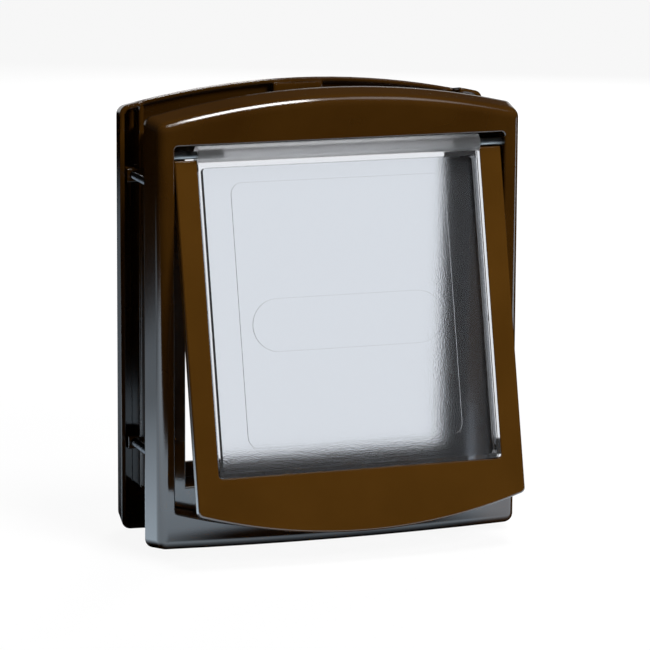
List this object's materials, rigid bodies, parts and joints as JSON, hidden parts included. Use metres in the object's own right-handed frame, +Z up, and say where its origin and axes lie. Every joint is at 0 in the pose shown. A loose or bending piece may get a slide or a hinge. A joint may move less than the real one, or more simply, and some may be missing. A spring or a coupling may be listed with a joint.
{
  "type": "cat flap",
  "caption": "Pet door of two arched plastic frames that clamp a door leaf, joined by a tunnel, with a frosted clear flap in a brown surround that swings outward.",
  "frame": {"origin": "on the outside face of the door, in the middle of the width and of the frames' height", "axes": "+X across the door, to the right seen from outside; +Y through the door towards the inside; +Z up"},
  "size_m": [0.2, 0.1169, 0.2364],
  "materials": {
    "brown_plastic": "glossy dark brown moulded plastic",
    "frosted_clear": "clear moulded plastic with a fine frosted grain",
    "zinc_screw": "bright zinc plate",
    "pin_steel": "dark polished steel",
    "magnet": "dull dark grey ferrite"
  },
  "bodies": {
    "frame": {"outside_frame": "brown_plastic", "inside_frame": "brown_plastic", "fixing_screws": "zinc_screw", "screw_covers": "brown_plastic", "pin_keeper_left": "brown_plastic", "pin_keeper_right": "brown_plastic", "sill_magnet": "magnet"},
    "flap": {"flap_surround": "brown_plastic", "flap_window": "frosted_clear", "pivot_pin_left": "pin_steel", "pivot_pin_right": "pin_steel", "flap_magnet": "magnet"}
  },
  "joints": [
    {"name": "flap_hinge", "type": "hinge", "parent": "frame", "child": "flap", "pos_m": [0, -0.0119, 0.088], "axis": [-1, 0, 0], "range_deg": [-16, 72]}
  ]
}
